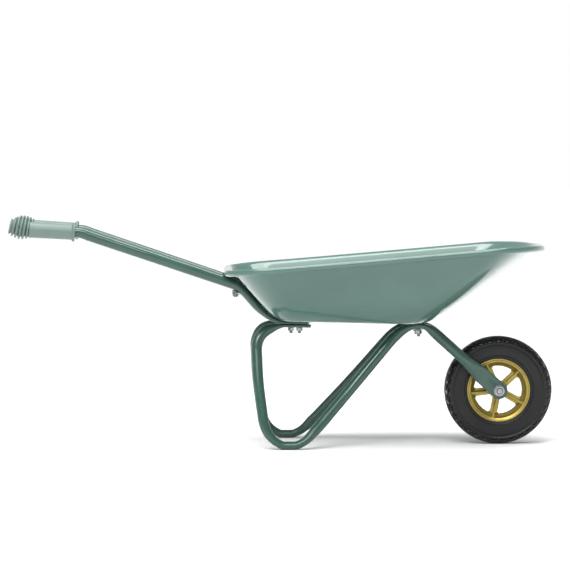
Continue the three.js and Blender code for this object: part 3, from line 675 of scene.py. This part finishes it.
# --------------------------------------------------------------------- grips
def grip(sign):
    at = np.array([-304.6, sign * handle_y(-304.6), 315.8])
    end = np.array([-399.7, sign * handle_y(-399.7), 321.4])
    u = unit(end - at)
    lat = unit(np.array([0, 1.0, 0]) - u * u[1])
    up = np.cross(lat, u)
    if up[2] < 0:
        up = -up
    n = 72
    th = np.arange(n) / n * 2 * math.pi

    def ring(d, r, lift=0.0, tilt=0.0):
        v = up * math.cos(tilt) - u * math.sin(tilt)
        return at + u * d + up * lift + r * (np.cos(th)[:, None] * lat + np.sin(th)[:, None] * v)

    rings = [ring(60, 8.35), ring(0.3, 8.35), ring(0.0, 8.7), ring(0, 12.9)]
    flange = [(0.2, 13.4), (0.7, 13.8), (1.3, 13.9), (2.1, 13.9), (2.8, 13.7), (3.3, 13.2), (3.7, 12.4), (4.2, 11.7), (5.0, 11.25), (6.2, 11.1)]
    rings += [ring(d, r) for d, r in flange]
    for d in np.linspace(9, 63, 19):
        rings.append(ring(d, 11.1 + 0.4 * (d - 6) / 58))
    rings += [ring(64.6, 11.55), ring(65.8, 11.7), ring(66.6, 11.7)]
    ribs = [(69.4, 13.3, 0.1), (74.4, 15.2, 0.6), (79.4, 15.9, 1.2), (84.4, 15.45, 2.2), (89.4, 14.2, 3.2)]
    for i, (d, r, lift) in enumerate(ribs):
        tilt = 0.1 + 0.02 * i
        groove = r - 3.6
        for t in (-1.75, -1.5, -1.32, -1.15, -0.85, -0.45, 0, 0.45, 0.85, 1.15, 1.32, 1.5, 1.75):
            h = (1 - (abs(t) / 1.75) ** 3.2) ** 0.55 if abs(t) < 1.75 else 0.0
            rings.append(ring(d + t, groove + (r - groove) * h, lift, tilt))
        if i < 4:
            nd, nr, nl = ribs[i + 1]
            g2 = nr - 3.6
            rings.append(ring(d + 2.1, groove - 0.15, lift + 0.1, tilt))
            rings.append(ring((d + nd) / 2, (groove + g2) / 2 - 0.3, (lift + nl) / 2, tilt + 0.01))
            rings.append(ring(nd - 2.1, g2 - 0.15, nl - 0.1, tilt + 0.02))
    rings += [ring(91.6, 10.3, 3.5, 0.18), ring(92.3, 10.2, 3.6, 0.18)]
    for d, r in ((92.9, 10.7), (93.3, 11.3), (93.8, 11.65), (94.3, 11.6), (94.8, 11.2), (95.2, 10.4), (95.5, 9.2), (95.7, 7.0), (95.8, 4.0), (95.85, 1.5)):
        rings.append(ring(d, r, 3.7, 0.18))
    v, f = loft(rings)
    return mesh_object("grip", v, f, 55)


# ---------------------------------------------------------------- fasteners
WALL_AXIS = unit([-0.616, 0, -0.788])


def wall_point(y, s):
    return np.array([-68.2 + 0.616 * s, y, 226.1 + 0.788 * s])


def threaded(r, z_top, z_bottom, pitch, n=36, per=6):
    """Rings of a threaded shank from z_top down to z_bottom (about +Z)."""
    th = np.arange(n) / n * 2 * math.pi
    count = max(2, int(round((z_top - z_bottom) / pitch * per)))
    rings = []
    for i in range(count + 1):
        z = z_top + (z_bottom - z_top) * i / count
        ph = (z / pitch + th / (2 * math.pi)) % 1.0
        tri = 1 - np.abs(2 * ph - 1)
        fade = min(1.0, i / per, (count - i) / per + 0.15)
        rr = r - 0.58 * pitch * fade * (1 - np.clip(tri * 1.25 - 0.1, 0, 1))
        if count - i < 4:
            rr = np.minimum(rr, r - 0.12 * (4 - (count - i)))
        rings.append(np.stack([rr * np.cos(th), rr * np.sin(th), np.full(n, z)], 1))
    return rings


def domed_bolt(name, at, axis, length, thread, head_r=5.5, head_h=2.8, r=2.5, spin=0.3):
    """Pan head with a cross recess; axis points from the thread to the head."""
    n = 36
    prof = [(0.35, head_h), (1.2, head_h - 0.03), (2.2, head_h - 0.13), (3.2, head_h - 0.36), (4.1, head_h - 0.75), (4.8, head_h - 1.3),
            (5.2, head_h - 1.85), (5.42, head_h - 2.3), (5.5, 0.25), (5.42, 0.06), (5.2, 0), (3.2, 0), (r + 0.15, 0), (r, -0.3), (r, -(length - thread))]
    rings = revolve(prof, n) + threaded(r, -(length - thread), -length, 0.8)[1:]
    v, f = loft(rings)
    o = mesh_object(name, v, f, 30, shift=False)
    cutters = []
    for ang in (0, math.pi / 2):
        c, s = math.cos(ang), math.sin(ang)
        pts = []
        for z, a, b in ((-0.1 + head_h - 1.5, 1.1, 0.36), (head_h + 0.4, 2.35, 0.62)):
            for x, y in ((-a, -b), (a, -b), (a, b), (-a, b)):
                pts.append((x * c - y * s, x * s + y * c, z))
        cutters.append(mesh_object("cutter", pts, [(0, 3, 2, 1), (4, 5, 6, 7), (0, 1, 5, 4), (1, 2, 6, 5), (2, 3, 7, 6), (3, 0, 4, 7)], shift=False))
    boolean(o, cutters)
    place(o, at, axis, spin)
    shade(o, 30)
    return o


def place(o, at, axis, spin=0.0):
    """Turns a mesh made about +Z (in metres, unshifted) onto an axis and moves it, in its vertices."""
    me = o.data
    v = np.zeros(len(me.vertices) * 3)
    me.vertices.foreach_get("co", v)
    v = moved(v.reshape(-1, 3) * 1000, at, axis, spin) + np.array([SHIFT, 0, 0])
    me.vertices.foreach_set("co", (v * 0.001).ravel())
    me.update()


def hex_rings(af, z0, z1, bore, n=72, chamfer=True, dish=0.0):
    """Closed rings of a hexagonal nut between heights z0 and z1, with turned chamfers."""
    th = np.arange(n) / n * 2 * math.pi
    m = (th + math.pi / 6) % (math.pi / 3) - math.pi / 6
    hexr = af / 2 / np.cos(m)
    circ = af / 2 * 0.955
    drop = (hexr - circ) * math.tan(math.radians(30)) if chamfer else hexr * 0

    def ring(r, z):
        r = np.broadcast_to(r, (n,)).astype(float)
        z = np.broadcast_to(z, (n,)).astype(float)
        return np.stack([r * np.cos(th), r * np.sin(th), z], 1)

    ease = 0.12
    out = [
        ring(bore, z0 + 0.7), ring(bore + 0.55, z0), ring(circ, z0), ring((circ + hexr) / 2 - 0.03, z0 + drop / 2), ring(hexr - ease, z0 + drop),
        ring(hexr, z0 + drop + ease), ring(hexr, z1 - drop - ease), ring(hexr - ease, z1 - drop), ring((circ + hexr) / 2 - 0.03, z1 - drop / 2),
        ring(circ, z1), ring(bore + 0.55, z1), ring(bore, z1 - 0.7),
    ]
    return out


def nut(name, at, axis, af, h, bore, spin=0.0):
    v, f = loft(hex_rings(af, -h / 2, h / 2, bore), wrap=True)
    return mesh_object(name, moved(v, at, axis, spin), f, 25)


def collar(name, at, axis, r_in, r_out, h, n=56, radius=0.3):
    prof = rounded([(r_in, -h / 2), (r_out, -h / 2), (r_out, h / 2), (r_in, h / 2)], True, radius)
    v, f = loft(revolve(prof, n), wrap=True)
    return mesh_object(name, moved(v, at, axis), f, 40)


# ------------------------------------------------------------------ assembly
piece(tray(), "tray_paint", "barrow", "tray").name = "Tray"
piece(rim_wire(), "wire", "barrow", "rim_wire").name = "RimWire"

for side, sign in (("left", 1), ("right", -1)):
    cap = side.capitalize()
    piece(handle(sign), "tube_paint", "barrow", f"handle_{side}").name = f"Handle.{cap}"
    piece(grip(sign), "grip_plastic", "barrow", f"grip_{side}").name = f"Grip.{cap}"
    piece(leg(sign), "tube_paint", "barrow", f"leg_fork_{side}").name = f"LegFork.{cap}"
    rnd = random.Random(7 + sign)
    y = sign * HANDLE_Y
    piece(domed_bolt(f"WallBolt.{cap}", wall_point(y, 20.1), -WALL_AXIS, 26.5, 12, spin=rnd.random()), "zinc", "barrow", f"wall_bolt_{side}")
    piece(collar(f"WallWasher.{cap}", wall_point(y, 0.7), WALL_AXIS, 2.8, 5.5, 1), "zinc", "barrow", f"wall_washer_{side}")
    piece(nut(f"WallNut.{cap}", wall_point(y, -2.45), WALL_AXIS, 8, 4.7, 2.72, rnd.random()), "zinc", "barrow", f"wall_nut_{side}")
    for tag, x in zip(("rear", "mid"), REAR_BOLT_X):
        at = np.array([x, sign * LEG_PLATE_Y, floor_z(x)])
        piece(domed_bolt(f"FloorBolt.{tag}.{cap}", at - DOWN * (SHEET + GAP + 0.1), -DOWN, 18.4, 10, spin=rnd.random()), "zinc", "barrow", f"floor_bolt_{tag}_{side}")
        under = GAP + PLATE_T + GAP + LEG_PLATE_T + GAP
        piece(nut(f"FloorNut.{tag}.{cap}", at + DOWN * (under + 2.35), DOWN, 8, 4.7, 2.72, rnd.random()), "zinc", "barrow", f"floor_nut_{tag}_{side}")
    at = np.array([FORK_BOLT[0], sign * FORK_BOLT[1], floor_z(FORK_BOLT[0])])
    piece(domed_bolt(f"ForkBolt.{cap}", at - DOWN * (SHEET + GAP), -DOWN, 21, 10, spin=rnd.random()), "zinc", "barrow", f"fork_bolt_{side}")
    under = GAP + FORK_SEAT_T + GAP
    piece(collar(f"ForkWasher.{cap}", at + DOWN * (under + 0.5), DOWN, 2.8, 5.5, 1), "zinc", "barrow", f"fork_washer_{side}")
    piece(nut(f"ForkNut.{cap}", at + DOWN * (under + 1 + GAP + 2.35), DOWN, 8, 4.7, 2.72, rnd.random()), "zinc", "barrow", f"fork_nut_{side}")

Y = np.array([0, 1.0, 0])


def axle_point(y):
    return np.array([AXLE[0], y, AXLE[1]])


plate_out = FORK_Y + FORK_T / 2
piece(collar("AxleWasher.Left", axle_point(plate_out + GAP + 0.8), Y, 4.3, 8, 1.6), "zinc", "barrow", "axle_washer_left")
piece(collar("AxleWasher.Right", axle_point(-plate_out - GAP - 0.8), Y, 4.3, 8, 1.6), "zinc", "barrow", "axle_washer_right")
piece(nut("AxleNut", axle_point(-plate_out - 2 * GAP - 1.6 - 3.25), -Y, 13, 6.5, 4.25, 0.35), "zinc", "barrow", "axle_nut")


def axle_bolt():
    length = 2 * plate_out + 13.8
    h = 5.3
    rings = hex_rings(13, 0, h, 3.9)
    # Head: side and top, closed over, then the shank with its thread.
    head = [np.array(r) for r in rings[5:10]][::-1]
    head = [head[0] * [0.02, 0.02, 1]] + [head[0] * [0.6, 0.6, 1]] + head
    n = 72
    under = revolve([(6.2, 0.15), (6.0, 0), (4.5, 0), (4.0, -0.4), (4.0, -(length - 16))], n)
    v, f = loft(head + under + threaded(4.0, -(length - 16), -length, 1.25, n=n)[1:])
    return mesh_object("AxleBolt", moved(v, axle_point(plate_out + 2 * GAP + 1.6), Y, 0.2), f, 30)


piece(axle_bolt(), "zinc", "barrow", "axle_bolt")
for side, sign in (("left", 1), ("right", -1)):
    a, b = 18 + 2.3 + GAP, FORK_Y - FORK_T / 2 - GAP
    piece(collar(f"AxleSpacer.{side.capitalize()}", axle_point(sign * (a + b) / 2), Y, 4.3, 7, b - a, radius=0.4), "zinc", "barrow", f"axle_spacer_{side}")
    prof = rounded([(4.3, -12), (6, -12), (6, 0.3), (8.5, 0.3), (8.5, 2.0), (4.3, 2.0)], True, 0.3)
    v, f = loft(revolve(prof, 56), wrap=True)
    o = mesh_object(f"HubBush.{side.capitalize()}", moved(v, axle_point(sign * 18), Y * sign), f, 40)
    piece(o, "bush", "wheel", f"hub_bush_{side}")


# -------------------------------------------------------------------- wheel
def about_axle(r, y, phi):
    return np.stack([AXLE[0] + r * np.cos(phi), np.broadcast_to(y, np.shape(phi)).astype(float), AXLE[1] + r * np.sin(phi)], -1)


def wheel_rim():
    n = 192
    phi = np.arange(n) / n * 2 * math.pi
    parts = []

    def turned(prof):
        rings = [about_axle(r, y, phi) for r, y in prof]
        parts.append(loft(rings, wrap=True))

    half = 17.0
    # Rim ring with its two lips and the seat for the tyre.
    turned([(36.4, -6.5), (38.0, -7.5), (39.6, -9.5), (40.6, -12.5), (41.3, -14.6), (44.8, -16.0), (45.3, -half), (46.5, -half), (47, -16.4), (47, -15.2), (46.4, -14.6), (43, -14.3),
            (43, 14.3), (46.4, 14.6), (47, 15.2), (47, 16.4), (46.5, half), (45.3, half), (44.8, 16.0), (41.3, 14.6), (40.6, 12.5), (39.6, 9.5), (38.0, 7.5), (36.4, 6.5), (35.6, 4.0), (35.4, 0), (35.6, -4)])
    turned([(6.35, -18), (12.4, -18), (13, -17.4), (14.2, -3), (14.2, 3), (13, 17.4), (12.4, 18), (6.35, 18)])
    SPOKE = 5.4
    for i in range(5):
        ang = math.radians(43 + 72 * i)
        c, s = math.cos(ang), math.sin(ang)

        def bar(r0, r1, w0, w1, h0, h1):
            """A tapered bar along the spoke: half widths w and half heights h at both ends."""
            pts = []
            for r, w, h in ((r0, w0, h0), (r1, w1, h1)):
                for a, b in ((-w, -h), (w, -h), (w, h), (-w, h)):
                    pts.append((AXLE[0] + r * c - a * s, b, AXLE[1] + r * s + a * c))
            parts.append((np.array(pts), [(0, 3, 2, 1), (4, 5, 6, 7), (0, 1, 5, 4), (1, 2, 6, 5), (2, 3, 7, 6), (3, 0, 4, 7)]))

        bar(9, 38, SPOKE, SPOKE + 0.3, 3.4, 3.4)
        bar(9, 41.8, 1.3, 1.3, 9.5, 13.6)
        # Web flaring into the ring at the outer corners of the windows.
        bar(31.5, 37.5, SPOKE, SPOKE + 4.4, 3.3, 3.3)
    v, f = join_data(parts)
    o = mesh_object("WheelRim", v, f)
    m = o.modifiers.new("r", "REMESH")
    m.mode = "VOXEL"
    m.voxel_size = 0.00062
    m = o.modifiers.new("s", "SMOOTH")
    m.factor, m.iterations = 0.5, 4
    dg = bpy.context.evaluated_depsgraph_get()
    me = bpy.data.meshes.new_from_object(o.evaluated_get(dg))
    o.modifiers.clear()
    o.data = me
    shade(o, 60)
    return o


piece(wheel_rim(), "wheel_gold", "wheel", "wheel_rim")


def tyre():
    n = 1020
    periods = 34
    half = [  # crown to bead, (radius, y): shoulder, side, ridge near the rim, bead
        (80.0, 0), (80.0, 3), (79.95, 5), (79.8, 7), (79.5, 9), (79.0, 11), (78.3, 12.8), (77.4, 14.4), (76.2, 15.9), (74.9, 17.1), (73.4, 18.0), (71.8, 18.6), (70.6, 18.85),
        (70.2, 18.6), (69.8, 18.35), (68.2, 18.4), (67.2, 18.6), (66.8, 19.1), (66.2, 19.6), (65.2, 19.85), (62, 19.97), (58, 19.8), (54.5, 19.35), (53.0, 19.1),
        (52.6, 19.3), (52.0, 19.35), (51.4, 19.0), (51.0, 18.3), (50.2, 17.8), (49.0, 17.4), (47.9, 17.2), (47.4, 16.6), (47.3, 15.5), (47.1, 14.5), (46.4, 14.2), (43.4, 14.0),
    ]
    # Even spacing along the outline, closer on the tread.
    p = np.array(half)
    s = np.concatenate([[0], np.cumsum(np.linalg.norm(np.diff(p, axis=0), axis=1))])
    tread_end = s[12]
    q = np.concatenate([np.arange(0, tread_end, 0.62), np.linspace(tread_end, s[-1], 42)])
    pr, py = pchip(s, p[:, 0], q), pchip(s, p[:, 1], q)
    phi = np.arange(n) / n * 2 * math.pi
    # Outward direction of the outline.
    dr, dy = np.gradient(pr, q), np.gradient(py, q)
    nr, ny = dy / np.hypot(dr, dy), -dr / np.hypot(dr, dy)
    rings = []
    tri = 2 * np.abs(2 * ((phi / (2 * math.pi) * periods) % 1.0) - 1) - 1      # -1 to 1
    spacing, swing, depth = 6.0, 2.3, 1.7
    for side in (1, -1):
        rr = []
        for i in range(len(q)):
            w = (q[i] - 0.5 * spacing + swing * tri * (1 if side > 0 else 1)) / spacing
            g = np.abs(w - np.round(w)) * spacing           # distance from a groove's middle
            cut = np.clip((1.45 - g) / 0.75, 0, 1)
            cut = cut * cut * (3 - 2 * cut)
            edge = np.clip((tread_end - 1.6 - q[i]) / 2.0, 0, 1) * (1 if q[i] > -1 else 0)
            h = -depth * cut * edge
            r, y = pr[i] + nr[i] * h, py[i] + ny[i] * h
            rr.append(np.stack([AXLE[0] + r * np.cos(phi), side * y, AXLE[1] + r * np.sin(phi)], 1))
        rings.append(rr)
    allr = rings[0][::-1] + rings[1][1:]
    v, f = loft(allr, wrap=True)
    return mesh_object("Tyre", v, f, 38)


piece(tyre(), "tyre", "wheel", "tyre")

# ------------------------------------------------------------------ the stage
bpy.ops.mesh.primitive_plane_add(size=60, location=(0, 0, 0))
floor = bpy.context.object
floor.name = "StudioFloor"
fm = Mat("studio_floor")
fm.set(Base_Color=(0.92, 0.92, 0.918), Roughness=0.8)
floor.data.materials.append(fm.m)

world = bpy.data.worlds.new("studio")
SCENE.world = world
world.use_nodes = True
background = world.node_tree.nodes["Background"]
background.inputs["Strength"].default_value = 1.0
# White low down, greyer overhead, so the softboxes read on the gloss paint.
sky = world.node_tree.nodes.new("ShaderNodeTexCoord")
split = world.node_tree.nodes.new("ShaderNodeSeparateXYZ")
fade = world.node_tree.nodes.new("ShaderNodeValToRGB")
fade.color_ramp.elements[0].position = 0.10
fade.color_ramp.elements[0].color = (1, 1, 1, 1)
fade.color_ramp.elements[1].position = 0.30
fade.color_ramp.elements[1].color = (0.42, 0.42, 0.42, 1)
world.node_tree.links.new(sky.outputs["Generated"], split.inputs[0])
world.node_tree.links.new(split.outputs[2], fade.inputs["Fac"])
world.node_tree.links.new(fade.outputs["Color"], background.inputs["Color"])


def area(name, at, aim, size, power, color=(1, 1, 1), size_y=None):
    d = bpy.data.lights.new(name, "AREA")
    d.shape = "RECTANGLE"
    d.size, d.size_y = size, size_y or size
    d.energy = power
    d.color = color
    o = bpy.data.objects.new(name, d)
    SCENE.collection.objects.link(o)
    o.location = at
    o.rotation_euler = (Vector(aim) - Vector(at)).to_track_quat("-Z", "Y").to_euler()
    return o


sun = bpy.data.lights.new("Sun", "SUN")
sun.energy = 2.6
sun.angle = 1.0
sun_object = bpy.data.objects.new("Sun", sun)
SCENE.collection.objects.link(sun_object)
sun_object.rotation_euler = Vector((0.25, 0.5, -1.0)).to_track_quat("-Z", "Y").to_euler()

area("Strip", (-0.25, -1.7, 1.75), (0, 0, 0.2), 1.6, 24, size_y=0.3)
area("Top", (0.05, 0.15, 1.9), (0.05, 0, 0.2), 1.5, 34, size_y=0.8)

cam = bpy.data.cameras.new("Camera")
cam.lens = 223.5
cam.sensor_width = 36
cam.clip_end = 100
camera = bpy.data.objects.new("Camera", cam)
SCENE.collection.objects.link(camera)
camera.location = (-0.0992, -5.25, 0.4425)
camera.rotation_euler = (Vector((0.0048, 0, 0.2359)) - camera.location).to_track_quat("-Z", "Y").to_euler()
SCENE.camera = camera
SCENE.view_settings.view_transform = "Standard"
